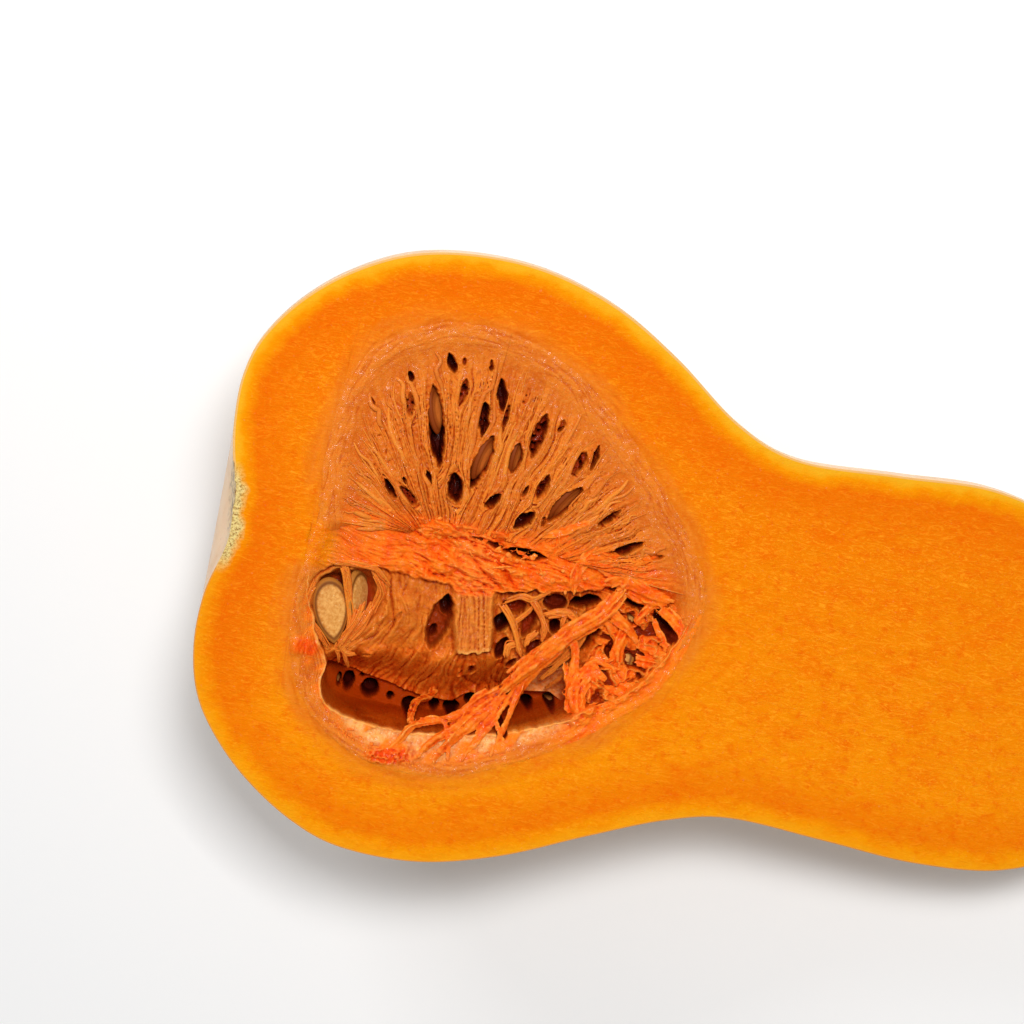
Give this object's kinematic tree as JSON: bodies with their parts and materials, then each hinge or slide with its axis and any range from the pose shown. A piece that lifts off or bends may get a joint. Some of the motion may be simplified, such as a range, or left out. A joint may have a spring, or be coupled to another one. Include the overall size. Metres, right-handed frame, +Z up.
{
  "type": "halved butternut squash",
  "caption": "Half a butternut squash cut lengthwise, lying on its back with flesh, stringy pulp, seeds and stem stub showing.",
  "frame": {"origin": "on the surface that the half lies on, under the middle of its box", "axes": "+X from the blossom end to the stem, +Y across the cut towards the side with the fan of fibres, +Z up, with the cut face up and dropping 12.7 degrees towards the stem"},
  "size_m": [0.2156, 0.129, 0.0769],
  "materials": {
    "flesh": "moist orange flesh on the cut, smooth waxy cream-tan rind on the round back",
    "pulp": "wet stringy salmon-orange fibres",
    "seed": "dull tan seed coat with a raised rim",
    "stem": "dry corky ridged stem"
  },
  "bodies": {
    "root": {"squash_half": "flesh", "pulp": "pulp", "seed_01": "seed", "seed_02": "seed", "seed_03": "seed", "seed_04": "seed", "seed_05": "seed", "seed_06": "seed", "seed_07": "seed", "seed_08": "seed", "stem_stub": "stem"}
  },
  "joints": []
}
